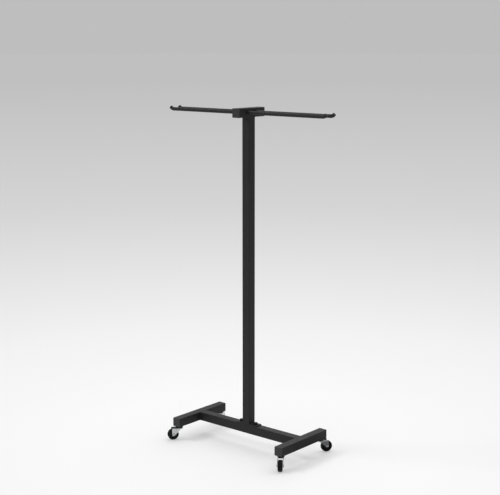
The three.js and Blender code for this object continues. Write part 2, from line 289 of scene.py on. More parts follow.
def addMix(material, factor, under, over):
    mix = addNode(material, "Mix", data_type="RGBA")
    wire(material, factor, mix.inputs[0])
    for source, target in ((under, mix.inputs[6]), (over, mix.inputs[7])):
        if isinstance(source, tuple):
            target.default_value = (*source, 1)
        else:
            wire(material, source, target)
    return mix.outputs[2]


def addMath(material, operation, first, second):
    node = addNode(material, "Math", operation=operation)
    for source, target in ((first, node.inputs[0]), (second, node.inputs[1])):
        if isinstance(source, (int, float)):
            target.default_value = source
        else:
            wire(material, source, target)
    return node.outputs["Value"]


def addBump(material, height, depth, under=None):
    bump = addNode(material, "Bump", Strength=1.0, Distance=depth * mm)
    wire(material, height, bump.inputs["Height"])
    if under is not None:
        wire(material, under, bump.inputs["Normal"])
    return bump.outputs["Normal"]


# 1 on edges that stand out, 0 on flats, from how far a rounded normal leaves the true one
def edgeMask(material, radius, span=(0.88, 0.99), samples=6):
    rounded = addNode(material, "Bevel", Radius=radius * mm, samples=samples)
    shape = addNode(material, "NewGeometry")
    agreement = addNode(material, "VectorMath", operation="DOT_PRODUCT")
    wire(material, rounded.outputs["Normal"], agreement.inputs[0])
    wire(material, shape.outputs["Normal"], agreement.inputs[1])
    return addRamp(material, agreement.outputs["Value"], span, 1.0, 0.0)


# 1 on faces that look up
def upMask(material, span=(0.6, 0.95)):
    shape = addNode(material, "NewGeometry")
    parts = addNode(material, "SeparateXYZ")
    wire(material, shape.outputs["Normal"], parts.inputs["Vector"])
    return addRamp(material, parts.outputs["Z"], span, 0.0, 1.0)


powderLook = {
    "metallic": 0.0, "ior": 1.5, "specular": 0.25,
    "deep": (0.0095, 0.0095, 0.0102), "pale": (0.0150, 0.0150, 0.0157),
    "worn": (0.050, 0.050, 0.052), "dust": (0.16, 0.156, 0.148),
    "toneSize": 60, "peelSize": 1.6, "peelDepth": 0.05, "grainSize": 0.45, "grainDepth": 0.012,
    "scuffScale": 90, "wornEdge": 1.0, "wearSpan": (0.45, 0.7), "wearLow": 0.1, "wearHigh": 0.55,
    "dustSpan": (0.4, 0.75), "dustAmount": 0.07, "roughLow": 0.48, "roughHigh": 0.60, "polish": 0.12,
}


def makePowderCoat():
    look = powderLook
    material, shader = newMaterial("powderCoat", look)
    place = objectPlace(material)
    tone = addNoise(material, place, 1000 / look["toneSize"], detail=5.0, roughness=0.6)
    peel = addNoise(material, place, 1000 / look["peelSize"])
    grain = addNoise(material, place, 1000 / look["grainSize"])
    scuffs = addNoise(material, place, look["scuffScale"], detail=6.0, roughness=0.7)
    wear = addRamp(material, scuffs, look["wearSpan"], look["wearLow"], look["wearHigh"])
    worn = addMath(material, "MULTIPLY", edgeMask(material, look["wornEdge"]), wear)
    base = addMix(material, worn, addTone(material, tone, look), look["worn"])
    dustSpots = addRamp(material, scuffs, look["dustSpan"], 0.0, look["dustAmount"])
    dust = addMath(material, "MULTIPLY", upMask(material), dustSpots)
    wire(material, addMix(material, dust, base, look["dust"]), shader.inputs["Base Color"])
    polish = addMath(material, "MULTIPLY", worn, look["polish"])
    rough = addMath(material, "SUBTRACT", addRoughness(material, tone, look), polish)
    wire(material, rough, shader.inputs["Roughness"])
    normal = addBump(material, grain, look["grainDepth"])
    wire(material, addBump(material, peel, look["peelDepth"], normal), shader.inputs["Normal"])
    return material


capLook = {
    "metallic": 0.0, "ior": 1.48, "specular": 0.5,
    "deep": (0.011, 0.011, 0.012), "pale": (0.018, 0.018, 0.019), "worn": (0.05, 0.05, 0.052),
    "toneScale": 120, "grainSize": 0.35, "grainDepth": 0.015, "wornEdge": 0.8, "wear": 0.4,
    "roughLow": 0.48, "roughHigh": 0.62,
}


def makeCapPlastic():
    look = capLook
    material, shader = newMaterial("capPlastic", look)
    place = objectPlace(material)
    tone = addNoise(material, place, look["toneScale"], detail=4.0)
    grain = addNoise(material, place, 1000 / look["grainSize"], detail=3.0)
    worn = addMath(material, "MULTIPLY", edgeMask(material, look["wornEdge"]), look["wear"])
    base = addMix(material, worn, addTone(material, tone, look), look["worn"])
    wire(material, base, shader.inputs["Base Color"])
    wire(material, addRoughness(material, tone, look), shader.inputs["Roughness"])
    wire(material, addBump(material, grain, look["grainDepth"]), shader.inputs["Normal"])
    return material


boltLook = {
    "metallic": 0.6, "ior": 1.5, "specular": 0.2,
    "deep": (0.010, 0.010, 0.011), "pale": (0.022, 0.021, 0.021), "worn": (0.12, 0.12, 0.12),
    "toneScale": 260, "toneSpan": (0.3, 0.7), "grainScale": 3500, "grainDepth": 0.006,
    "wornEdge": 0.4, "wear": 0.5, "roughLow": 0.34, "roughHigh": 0.52,
}


def makeBlackSteel():
    look = boltLook
    material, shader = newMaterial("blackSteel", look)
    place = objectPlace(material)
    tone = addNoise(material, place, look["toneScale"], detail=5.0, roughness=0.6)
    grain = addNoise(material, place, look["grainScale"])
    worn = addMath(material, "MULTIPLY", edgeMask(material, look["wornEdge"]), look["wear"])
    base = addMix(material, worn, addTone(material, tone, look, look["toneSpan"]), look["worn"])
    wire(material, base, shader.inputs["Base Color"])
    wire(material, addRoughness(material, tone, look), shader.inputs["Roughness"])
    wire(material, addBump(material, grain, look["grainDepth"]), shader.inputs["Normal"])
    return material


zincLook = {
    "metallic": 1.0, "ior": 1.5, "specular": 0.5,
    "deep": (0.42, 0.43, 0.44), "pale": (0.60, 0.61, 0.62), "stain": (0.30, 0.29, 0.27),
    "toneScale": 180, "stainScale": 420, "stainSpan": (0.56, 0.8), "stainAmount": 0.6,
    "drawLines": (300, 300, 4200), "lineDepth": 0.004, "roughLow": 0.14, "roughHigh": 0.28,
}


def makeZincPlate():
    look = zincLook
    material, shader = newMaterial("zincPlate", look)
    place = objectPlace(material)
    tone = addNoise(material, place, look["toneScale"], detail=6.0, roughness=0.65)
    stretch = addNode(material, "Mapping", Scale=look["drawLines"])
    wire(material, place, stretch.inputs["Vector"])
    lines = addNoise(material, stretch.outputs["Vector"], 1.0, detail=3.0)
    spots = addNoise(material, place, look["stainScale"], detail=5.0, roughness=0.7)
    stain = addRamp(material, spots, look["stainSpan"], 0.0, look["stainAmount"])
    base = addMix(material, stain, addTone(material, tone, look), look["stain"])
    wire(material, base, shader.inputs["Base Color"])
    wire(material, addRoughness(material, lines, look), shader.inputs["Roughness"])
    wire(material, addBump(material, lines, look["lineDepth"]), shader.inputs["Normal"])
    return material


wheelLook = {
    "metallic": 0.0, "ior": 1.53, "specular": 0.2,
    "deep": (0.005, 0.005, 0.0055), "pale": (0.009, 0.009, 0.0095),
    "toneScale": 200, "grainSize": 0.5, "grainDepth": 0.01, "roughLow": 0.30, "roughHigh": 0.42,
}


def makeWheelPlastic():
    look = wheelLook
    material, shader = newMaterial("wheelPlastic", look)
    place = objectPlace(material)
    tone = addNoise(material, place, look["toneScale"], detail=4.0)
    grain = addNoise(material, place, 1000 / look["grainSize"])
    wire(material, addTone(material, tone, look), shader.inputs["Base Color"])
    wire(material, addRoughness(material, tone, look), shader.inputs["Roughness"])
    wire(material, addBump(material, grain, look["grainDepth"]), shader.inputs["Normal"])
    return material


tyreLook = {
    "metallic": 0.0, "ior": 1.52, "specular": 0.2,
    "deep": (0.004, 0.004, 0.004), "pale": (0.007, 0.007, 0.007), "dust": (0.035, 0.034, 0.031),
    "toneScale": 150, "dustScale": 700, "dustSpan": (0.55, 0.8), "dustAmount": 0.5,
    "grainSize": 0.6, "grainDepth": 0.03, "roughLow": 0.66, "roughHigh": 0.84,
}


def makeTyreRubber():
    look = tyreLook
    material, shader = newMaterial("tyreRubber", look)
    place = objectPlace(material)
    tone = addNoise(material, place, look["toneScale"], detail=5.0, roughness=0.65)
    grain = addNoise(material, place, 1000 / look["grainSize"], detail=3.0)
    spots = addNoise(material, place, look["dustScale"], detail=5.0, roughness=0.75)
    dust = addRamp(material, spots, look["dustSpan"], 0.0, look["dustAmount"])
    base = addMix(material, dust, addTone(material, tone, look), look["dust"])
    wire(material, base, shader.inputs["Base Color"])
    wire(material, addRoughness(material, tone, look), shader.inputs["Roughness"])
    wire(material, addBump(material, grain, look["grainDepth"]), shader.inputs["Normal"])
    return material


finishes = {
    "powder_coat": makePowderCoat(), "cap_plastic": makeCapPlastic(), "black_steel": makeBlackSteel(),
    "zinc_plate": makeZincPlate(), "wheel_plastic": makeWheelPlastic(), "tyre_rubber": makeTyreRubber(),
}
print("finishes made:", ", ".join(finishes))


# Gives a finished piece its material and its body, and hides the node that it stands for
def deliver(piece, finish, body, *nodes):
    piece.data.materials.clear()
    piece.data.materials.append(finishes[finish])
    if nodes:
        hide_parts(*nodes)
    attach(piece, body)


# Square tubes

tube = {
    "wall": 1.2, "corner": 1.5, "cornerSegments": 5, "boltHole": 6.6, "stemHole": 8.6, "drillDepth": 6.0,
}


def makeTube(name, node, axis):
    low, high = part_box(node)
    piece = addBlock(name, low, high)
    editMode()
    pick("EDGE", lambda edge: runsAlong(edge, axis))
    bpy.ops.mesh.bevel(offset=tube["corner"] * mm, segments=tube["cornerSegments"], affect="EDGES")
    pick("FACE", lambda face: abs(face.normal[axis]) > facing)
    bpy.ops.mesh.delete(type="FACE")
    objectMode()
    applyModifier(piece, "SOLIDIFY", thickness=tube["wall"] * mm, offset=-1, use_even_offset=True)
    return piece


def finishTube(piece, node):
    finishShading(piece)
    deliver(piece, "powder_coat", "stand", node)


def makeTubes():
    beam = makeTube("crossbeam", "base_crossbeam", 0)
    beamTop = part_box("base_crossbeam")[1].z
    for side in sides:
        drill(beam, middleOf("flange_bolt_" + side, beamTop), tube["boltHole"], tube["drillDepth"])
    finishTube(beam, "base_crossbeam")
    for side in sides:
        node = "foot_tube_" + side
        foot = makeTube("foot" + side.title(), node, 1)
        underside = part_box(node)[0].z
        for end in ends:
            stem = middleOf("caster_stem_%s_%s" % (side, end), underside)
            drill(foot, stem, tube["stemHole"], tube["drillDepth"])
        finishTube(foot, node)
    finishTube(makeTube("post", "post_tube", 2), "post_tube")
    finishTube(makeTube("headCrossbar", "head_crossbar", 1), "head_crossbar")


makeTubes()
print("tubes made")


# End caps

cap = {
    "head": 2.0, "plugCorner": 0.6, "cornerSegments": 5, "rim": 0.7, "rimSegments": 4,
    "fit": 0.3, "wall": 1.6, "lap": 0.5, "overrun": 1.0, "edge": 0.2, "edgeAngle": 60,
}


# A block whose edges along Y are rounded
def addRoundedBlock(name, half, corner, centre, start, end):
    low = Vector((centre[0] - half, min(start, end), centre[1] - half))
    high = Vector((centre[0] + half, max(start, end), centre[1] + half))
    piece = addBlock(name, low, high)
    editMode()
    pick("EDGE", lambda edge: runsAlong(edge, 1))
    bpy.ops.mesh.bevel(offset=corner * mm, segments=cap["cornerSegments"], affect="EDGES")
    objectMode()
    return piece


def makeCap(node):
    low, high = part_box(node)
    out = 1 if low.y + high.y > 0 else -1
    outer, inner = (high.y, low.y) if out > 0 else (low.y, high.y)
    centre = ((low.x + high.x) / 2, (low.z + high.z) / 2)
    half = (high.x - low.x) / 2
    seat = outer - out * cap["head"] * mm
    piece = addRoundedBlock(pieceName(node), half, tube["corner"], centre, outer, seat)
    editMode()
    pick("FACE", lambda face: face.normal.y * out > facing)
    bpy.ops.mesh.region_to_loop()
    bpy.ops.mesh.bevel(offset=cap["rim"] * mm, segments=cap["rimSegments"], affect="EDGES")
    objectMode()
    corner = cap["plugCorner"]
    plugHalf = half - (tube["wall"] + cap["fit"]) * mm
    plugStart = seat + out * cap["lap"] * mm
    combine(piece, addRoundedBlock("plug", plugHalf, corner, centre, plugStart, inner), "UNION")
    hollowHalf = plugHalf - cap["wall"] * mm
    hollowEnd = inner - out * cap["overrun"] * mm
    combine(piece, addRoundedBlock("hollow", hollowHalf, corner, centre, seat, hollowEnd), "DIFFERENCE")
    roundEdges(piece, cap["edge"], cap["edgeAngle"])
    finishShading(piece)
    deliver(piece, "cap_plastic", "stand", node)


for side in sides:
    for end in ends:
        makeCap("foot_cap_%s_%s" % (side, end))
for end in ends:
    makeCap("head_cap_" + end)
print("end caps made")


# Flange plate, bolts and washers

plate = {"corner": 3.0, "cornerSegments": 6, "edge": 0.5, "edgeAngle": 50, "hole": 6.6, "drillDepth": 10.0}
bolt = {
    "flats": 10.0, "headHeight": 4.0, "slack": 0.02, "chamferDrop": 0.75, "chamferRadius": 4.9,
    "crownDrop": 0.12, "crownInset": 0.5, "shank": 6.0, "shankLap": 1.0, "tip": 0.8, "edge": 0.15,
    "edgeAngle": 50,
}
washer = {"outside": 12.0, "hole": 6.4, "edge": 0.3, "edgeAngle": 50}


def makeFlangePlate():
    low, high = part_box("post_flange_plate")
    piece = addBlock("flangePlate", low, high)
    editMode()
    pick("EDGE", lambda edge: runsAlong(edge, 2))
    bpy.ops.mesh.bevel(offset=plate["corner"] * mm, segments=plate["cornerSegments"], affect="EDGES")
    objectMode()
    for side in sides:
        place = middleOf("flange_bolt_" + side, (low.z + high.z) / 2)
        drill(piece, place, plate["hole"], plate["drillDepth"])
    roundEdges(piece, plate["edge"], plate["edgeAngle"])
    finishShading(piece)
    deliver(piece, "powder_coat", "stand", "post_flange_plate")


# A hexagon cut round by a turned crown, on a turned shank
def makeBolt(node):
    low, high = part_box(node)
    centre = middleOf(node) / mm
    top, bottom = high.z / mm, low.z / mm
    seat = top - bolt["headHeight"]
    hexRadius = bolt["flats"] / math.sqrt(3)
    hexagon = arc((centre.x, centre.y), hexRadius, 0, 300, steps=5)
    piece = addOutline(pieceName(node), hexagon, 2, seat, top)
    corner, under = hexRadius + bolt["slack"], seat - bolt["slack"] / 2
    chamfer = bolt["chamferRadius"]
    crown = [(0, under), (corner, under), (corner, top - bolt["chamferDrop"])]
    crown += [(chamfer, top - bolt["crownDrop"]), (chamfer - bolt["crownInset"], top), (0, top)]
    combine(piece, addTurned("crown", crown, centre * mm, closed=False), "INTERSECT")
    radius, tip, lap = bolt["shank"] / 2, bolt["tip"], seat + bolt["shankLap"]
    shank = [(0, lap), (radius, lap), (radius, bottom + tip), (radius - tip, bottom), (0, bottom)]
    combine(piece, addTurned("shank", shank, centre * mm, closed=False, steps=32), "UNION")
    roundEdges(piece, bolt["edge"], bolt["edgeAngle"], segments=1)
    finishShading(piece)
    deliver(piece, "black_steel", "stand", node)


def makeWasher(node):
    low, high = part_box(node)
    inside, outside = washer["hole"] / 2, washer["outside"] / 2
    bottom, top = low.z / mm, high.z / mm
    profile = [(inside, bottom), (outside, bottom), (outside, top), (inside, top)]
    piece = addTurned(pieceName(node), profile, middleOf(node), steps=48)
    roundEdges(piece, washer["edge"], washer["edgeAngle"])
    finishShading(piece)
    deliver(piece, "black_steel", "stand", node)


makeFlangePlate()
for side in sides:
    makeBolt("flange_bolt_" + side)
    makeWasher("flange_washer_" + side)
print("flange plate, bolts and washers made")


# Prongs

prong = {
    "diameter": 10.0, "corners": 40, "straight": 250.0, "bendRadius": 15.0, "bendAngle": 40.0,
    "bendSteps": 14, "tip": 3.0, "tipRound": 1.6, "tipSegments": 5,
}


# Where a prong's axis leaves the crossbar, and 1 or -1 for the way that it runs
def prongRoot(side, end):
    low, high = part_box("prong_%s_%s" % (side, end))
    start, run = (low.x, 1) if side == "right" else (high.x, -1)
    return Vector((start, (low.y + high.y) / 2, low.z + prong["diameter"] / 2 * mm)), run


# A disc drawn out along X, spun up through the bend and drawn out again, with a rounded tip
def makeProng(side, end):
    root, run = prongRoot(side, end)
    clearSelection()
    bpy.ops.mesh.primitive_circle_add(
        vertices=prong["corners"], radius=prong["diameter"] / 2 * mm, fill_type="NGON",
        location=root, rotation=(0, math.pi / 2, 0))
    node = "prong_%s_%s" % (side, end)
    piece = settle(pieceName(node))
    editMode()
    bpy.ops.mesh.select_all(action="SELECT")
    extrudeFaces((run * prong["straight"] * mm, 0, 0))
    bend = math.radians(prong["bendAngle"])
    centre = root + Vector((run * prong["straight"], 0, prong["bendRadius"])) * mm
    bpy.ops.mesh.spin(steps=prong["bendSteps"], angle=bend, center=centre, axis=(0, run, 0))
    extrudeFaces(Vector((run * math.cos(bend), 0, math.sin(bend))) * prong["tip"] * mm)
    bpy.ops.mesh.region_to_loop()
    bpy.ops.mesh.bevel(offset=prong["tipRound"] * mm, segments=prong["tipSegments"], affect="EDGES")
    bpy.ops.mesh.select_all(action="SELECT")
    bpy.ops.mesh.normals_make_consistent(inside=False)
    objectMode()
    finishShading(piece)
    deliver(piece, "powder_coat", "stand", node)


for side in sides:
    for end in ends:
        makeProng(side, end)
print("prongs made")


# Weld beads

weld = {
    "radius": 1.5, "rodRadius": 1.2, "ripple": 1.6, "rippleDepth": 0.10, "wobble": 0.05,
    "wobbleTurn": 1.7, "flush": 1.15, "stand": 0.35, "rodStand": 0.25, "rodPoints": 24,
    "shadeAngle": 60,
}


# A bead along a closed loop: the loop is drawn, made a curve with a round section, and rippled
def makeBead(name, points, radius):
    piece = drawLine(name, points)
    bpy.ops.mesh.select_all(action="SELECT")
    bpy.ops.mesh.edge_face_add()
    bpy.ops.mesh.delete(type="ONLY_FACE")
    objectMode()
    activate(piece)
    bpy.ops.object.convert(target="CURVE")
    piece = bpy.context.active_object
    piece.data.bevel_depth = radius * mm
    piece.data.bevel_resolution = 2
    for spline in piece.data.splines:
        for number, point in enumerate(spline.points):
            ripple = weld["rippleDepth"] if number % 2 else -weld["rippleDepth"]
            point.radius = 1 + ripple + weld["wobble"] * math.sin(number * weld["wobbleTurn"])
    bpy.ops.object.convert(target="MESH")
    piece = bpy.context.active_object
    piece.name = piece.data.name = name
    editMode()
    bpy.ops.mesh.select_all(action="SELECT")
    bpy.ops.mesh.remove_doubles(threshold=mergeDistance)
    bpy.ops.mesh.normals_make_consistent(inside=False)
    objectMode()
    activate(piece)
    bpy.ops.object.shade_smooth_by_angle(angle=math.radians(weld["shadeAngle"]))
    deliver(piece, "powder_coat", "stand")


# Points round a rounded rectangle with half sizes a and b, about one ripple apart
def loopPoints(a, b):
    corner = tube["corner"]
    outline = []
    for x, y, start in ((a, b, 0), (-a, b, 90), (-a, -b, 180), (a, -b, 270)):
        centre = (x - math.copysign(corner, x), y - math.copysign(corner, y))
        outline += arc(centre, corner, start, start + 90, steps=3)
    points = []
    for (x, y), (nextX, nextY) in zip(outline, outline[1:] + outline[:1]):
        count = max(1, round(math.dist((x, y), (nextX, nextY)) / weld["ripple"]))
        points += [(x + (nextX - x) * i / count, y + (nextY - y) * i / count) for i in range(count)]
    return points


def makeBeads():
    beamLow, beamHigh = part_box("base_crossbeam")
    postLow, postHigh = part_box("post_tube")
    half = (postHigh.x - postLow.x) / 2 / mm
    middle = (beamLow.z + beamHigh.z) / 2
    proud, flush = half + weld["stand"], half - weld["flush"]
    narrow, wide = loopPoints(proud, flush), loopPoints(flush, proud)
    for side, x in (("Left", beamLow.x), ("Right", beamHigh.x)):
        loop = [Vector((x, u * mm, v * mm + middle)) for u, v in narrow]
        makeBead("weldFoot" + side, loop, weld["radius"])
    makeBead("weldPostFoot", [Vector((u * mm, v * mm, postLow.z)) for u, v in narrow], weld["radius"])
    makeBead("weldPostHead", [Vector((u * mm, v * mm, postHigh.z)) for u, v in wide], weld["radius"])
    ring = arc((0, 0), prong["diameter"] / 2 + weld["rodStand"], 0, 360, weld["rodPoints"])[:-1]
    for side in sides:
        for end in ends:
            root = prongRoot(side, end)[0]
            loop = [root + Vector((0, u, v)) * mm for u, v in ring]
            makeBead("weldProng" + side.title() + end.title(), loop, weld["rodRadius"])


makeBeads()
print("weld beads made")


# Casters

# The four are alike: one is made with its pin on the Z axis and its wheel trailing along +X
joints = {joint["name"]: joint for joint in frame["joints"]}
pinPlace = joints["caster_swivel_left_front"]["pos_m"]
axlePlace = joints["wheel_roll_left_front"]["pos_m"]
caster = {
    "trail": math.dist(pinPlace[:2], axlePlace[:2]) / mm, "height": axlePlace[2] / mm,
    "crownTop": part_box("caster_fork_left_front")[1].z / mm,
    "footUnder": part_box("foot_tube_left")[0].z / mm,
    "gap": 0.3, "wheelWidth": 12.0, "crown": 21.0, "sheet": 1.6, "bend": 2.6, "bendSegments": 6,
    "skirt": 2.4, "legInside": 7.0, "legEnd": 4.2, "legFront": 3.0, "rearCorner": 2.2, "edge": 0.3,
    "edgeAngle": 45, "kingHole": 8.6, "kingDrill": 10.0, "axleHole": 5.6, "axleDrill": 30.0, "overrun": 1.0,
}
caster["crownUnder"] = caster["crownTop"] - caster["sheet"]


# A bent plate, cut to its side view and to its plan, with holes for the stem and the axle
def makeFork():
    trail, height, sheet = caster["trail"], caster["height"], caster["sheet"]
    inside, corner, over = caster["legInside"], caster["rearCorner"], caster["overrun"]
    outside = inside + sheet
    front, rear = caster["crown"] / 2, trail + caster["legEnd"]
    bottom, top = height - caster["legEnd"], caster["crownTop"]
    low, high = Vector((-front, -outside, bottom - over)), Vector((rear, outside, top))
    piece = addBlock("casterFork", low * mm, high * mm)
    editMode()
    pick("EDGE", lambda edge: runsAlong(edge, 0) and edgeMiddle(edge).z > (top - over) * mm)
    bpy.ops.mesh.bevel(offset=caster["bend"] * mm, segments=caster["bendSegments"], affect="EDGES")
    pick("FACE", lambda face: abs(face.normal.x) > facing or face.normal.z < -facing)
    bpy.ops.mesh.delete(type="FACE")
    objectMode()
    applyModifier(piece, "SOLIDIFY", thickness=sheet * mm, offset=-1, use_even_offset=True)
    skirt = caster["crownUnder"] - caster["skirt"]
    slant = math.degrees(math.atan2(skirt - height, trail + caster["legFront"]))
    side = [(-front - over, top + over), (-front - over, skirt), (-caster["legFront"], skirt)]
    side += arc((trail, height), caster["legEnd"], 270 - slant, 360, steps=18)
    side += arc((rear - corner, top - corner), corner, 0, 90, steps=6)
    side += [(trail, top), (trail, top + over)]
    combine(piece, addOutline("sideCut", side, 1, -outside - over, outside + over), "INTERSECT")
    outsideTurn = math.degrees(math.asin(outside / front))
    insideTurn = math.degrees(math.asin(inside / front))
    plan = arc((0, 0), front, outsideTurn, 360 - outsideTurn, steps=40)
    plan += [(rear + over, -outside), (rear + over, -inside)]
    plan += arc((0, 0), front, -insideTurn, insideTurn, steps=12)
    plan += [(rear + over, inside), (rear + over, outside)]
    combine(piece, addOutline("planCut", plan, 2, bottom - 2 * over, top + 2 * over), "INTERSECT")
    drill(piece, (0, 0, top * mm), caster["kingHole"], caster["kingDrill"])
    drill(piece, wheelCentre(), caster["axleHole"], caster["axleDrill"], axis=1)
    roundEdges(piece, caster["edge"], caster["edgeAngle"])
    finishShading(piece)
    return piece


def wheelCentre():
    return Vector((caster["trail"], 0, caster["height"])) * mm


swivel = {
    "ball": 2.2, "circle": 13.0, "balls": 8, "cage": 1.8, "cageThick": 1.0,
    "cup": 20.0, "cupBend": 2.0, "sheet": 1.2, "cupEdge": 0.25, "edgeAngle": 50,
    "stem": 8.0, "stemTip": 0.9, "stemEdge": 0.15, "stemHead": 12.0, "stemHeadHeight": 1.8,
    "headRim": 0.5, "headRise": 1.1, "headRadii": (2, 3.5, 4.6, 5.4, 5.85),
}


def makeBallRing():
    height = caster["crownTop"] + caster["gap"] + swivel["ball"] / 2
    middle, half, thick = swivel["circle"] / 2, swivel["cage"] / 2, swivel["cageThick"] / 2
    piece = addTurned("casterBallRing", [
        (middle - half, height - thick), (middle + half, height - thick),
        (middle + half, height + thick), (middle - half, height + thick)], steps=48)
    for number in range(swivel["balls"]):
        turn = 2 * math.pi * number / swivel["balls"]
        clearSelection()
        bpy.ops.mesh.primitive_uv_sphere_add(
            segments=20, ring_count=12, radius=swivel["ball"] / 2 * mm,
            location=Vector((middle * math.cos(turn), middle * math.sin(turn), height)) * mm)
        combine(piece, settle("ball"), "UNION")
    finishShading(piece)
    return piece


def makeCup():
    outside, sheet, bend = swivel["cup"] / 2, swivel["sheet"], swivel["cupBend"]
    inside = outside - sheet
    rim, top = caster["crownTop"] + caster["gap"], caster["footUnder"]
    under = top - sheet
    bore = swivel["stem"] / 2 + caster["gap"]
    profile = [(bore, under)]
    profile += arc((inside - bend + sheet, under - bend + sheet), bend - sheet, 90, 0, steps=4)
    profile += [(inside, rim), (outside, rim)]
    profile += arc((outside - bend, top - bend), bend, 0, 90, steps=7)
    profile += [(bore, top)]
    piece = addTurned("casterCup", profile, steps=64)
    roundEdges(piece, swivel["cupEdge"], swivel["edgeAngle"])
    finishShading(piece)
    return piece


# The stem with its head below the crown: the head's underside rises towards its rim
def makeStem():
    headTop = caster["crownUnder"] - caster["gap"]
    headUnder = headTop - swivel["stemHeadHeight"]
    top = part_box("caster_stem_left_front")[1].z / mm
    head, radius, tip = swivel["stemHead"] / 2, swivel["stem"] / 2, swivel["stemTip"]
    profile = [(0, headUnder)]
    profile += [(r, headUnder + swivel["headRise"] * (r / head) ** 4) for r in swivel["headRadii"]]
    profile += [(head, headTop - swivel["headRim"]), (head, headTop), (radius, headTop)]
    profile += [(radius, top - tip), (radius - tip, top), (0, top)]
    piece = addTurned("casterStem", profile, closed=False, steps=48)
    roundEdges(piece, swivel["stemEdge"], swivel["edgeAngle"], segments=1)
    finishShading(piece)
    return piece


core = {
    "bore": 2.8, "hub": 5.0, "hubHalf": 6.7, "hubEdge": 0.4, "web": 2.5, "fillet": 1.0,
    "rim": 10.0, "rimEdge": 0.3, "outside": 12.0, "half": 5.0,
}


def makeCore():
    bend = core["fillet"]
    right = [(core["bore"], core["hubHalf"]), (core["hub"] - core["hubEdge"], core["hubHalf"])]
    right += [(core["hub"], core["hubHalf"] - core["hubEdge"])]
    right += arc((core["hub"] + bend, core["web"] + bend), bend, 180, 270, steps=4)
    right += arc((core["rim"] - bend, core["web"] + bend), bend, 270, 360, steps=4)
    right += [(core["rim"], core["half"] - core["rimEdge"]), (core["rim"] + core["rimEdge"], core["half"])]
    right += [(core["outside"], core["half"])]
    left = [(r, -h) for r, h in reversed(right)]
    piece = addTurned("wheelCore", right + left, wheelCentre(), axis=1, steps=72)
    finishShading(piece, angle=40)
    return piece


tyre = {"inside": 12.3, "shoulder": 2.6, "lip": 0.3}


def makeTyre():
    outside, half = caster["height"], caster["wheelWidth"] / 2
    right = [(tyre["inside"], half - tyre["lip"]), (tyre["inside"] + tyre["lip"], half)]
    right += arc((outside - tyre["shoulder"], half - tyre["shoulder"]), tyre["shoulder"], 90, 0, steps=8)
    left = [(r, -h) for r, h in reversed(right)]
    piece = addTurned("wheelTyre", right + left, wheelCentre(), axis=1, steps=96)
    finishShading(piece, angle=40)
    return piece


rivet = {
    "shank": 5.0, "seat": 8.9, "head": 8.0, "headHeight": 1.4, "domeEndAngle": 8,
    "closing": ((0.1, 0.75), (0.5, 0.25), (1.1, 0)),  # insets and drops of the closed end's rim
    "dimple": 1.5, "dimpleRim": 0.3, "dimpleDrop": 0.15, "dimpleDepth": 0.6, "dimpleFloorShare": 0.6,
}


# The axle: its made head is a low dome, and the end that was closed over has a dimple
def makeAxle():
    head, shank, seat, dimple = rivet["head"] / 2, rivet["shank"] / 2, rivet["seat"], rivet["dimple"]
    end = seat + rivet["headHeight"]
    floor = end - rivet["dimpleDepth"]
    dome = arc((0, 0), 1, 90, rivet["domeEndAngle"], steps=7)
    profile = [(head * u, -seat - rivet["headHeight"] * v) for u, v in dome]
    profile += [(head, -seat), (shank, -seat), (shank, seat), (head, seat)]
    profile += [(head - inset, end - drop) for inset, drop in rivet["closing"]]
    profile += [(dimple + rivet["dimpleRim"], end), (dimple, end - rivet["dimpleDrop"])]
    profile += [(dimple * rivet["dimpleFloorShare"], floor), (0, floor)]
    piece = addTurned("casterAxle", profile, wheelCentre(), axis=1, closed=False, steps=48)
    finishShading(piece, angle=30)
    return piece


# Copies each piece to the four places, with a mesh of its own
def placeCasters():
    made = [
        (makeStem(), "caster_stem", "zinc_plate", "stand"),
        (makeCup(), "caster_cup", "black_steel", "stand"),
        (makeBallRing(), "caster_ball_ring", "zinc_plate", "stand"),
        (makeFork(), "caster_fork", "zinc_plate", "caster"),
        (makeAxle(), "caster_axle", "zinc_plate", "caster"),
        (makeCore(), "wheel_core", "wheel_plastic", "wheel"),
        (makeTyre(), "wheel_tyre", "tyre_rubber", "wheel"),
    ]
    for place in casterPlaces:
        pin = joints["caster_swivel_" + place]["pos_m"]
        roll = joints["wheel_roll_" + place]["axis"]
        turn = math.atan2(-roll[0], roll[1])
        where = Matrix.Translation((pin[0], pin[1], 0)) @ Matrix.Rotation(turn, 4, "Z")
        for pattern, part, finish, carrier in made:
            activate(pattern)
            bpy.ops.object.duplicate(linked=False)
            node = part + "_" + place
            bpy.context.active_object.matrix_world = where
            piece = settle(pieceName(node))
            body = carrier if carrier == "stand" else carrier + "_" + place
            deliver(piece, finish, body, node)
    for pattern, part, finish, carrier in made:
        bpy.data.objects.remove(pattern, do_unlink=True)


placeCasters()
print("casters made")


# Nuts kept from the frame

nuts = ["beam_nut_" + side for side in sides] + ["stem_nut_" + place for place in casterPlaces]
for name in nuts:
    nut = frame["nodes"][name]
    nut.data.materials.clear()
    nut.data.materials.append(finishes["zinc_plate"])
print("inner nuts finished")


# Floor, light and camera

stage = {
    "floorSize": 160.0, "reach": 3.185, "shadeShare": 0.68,
    "tones": ((0.10, 0.533), (0.40, 0.672), (0.70, 0.905), (0.86, 0.973)),
    "sky": 0.515, "skyLight": 0.32,
}
lamps = {
    "keyLamp": {"from": (-0.76, -0.48, 1.0), "power": 0.70, "angle": 16.0},
    "topLamp": {"from": (-0.10, 0.80, 1.0), "power": 1.70, "angle": 80.0},
    "fillLamp": {"from": (-0.50, -1.00, 0.35), "power": 0.75, "angle": 60.0},
}
lampDistance = 3.0
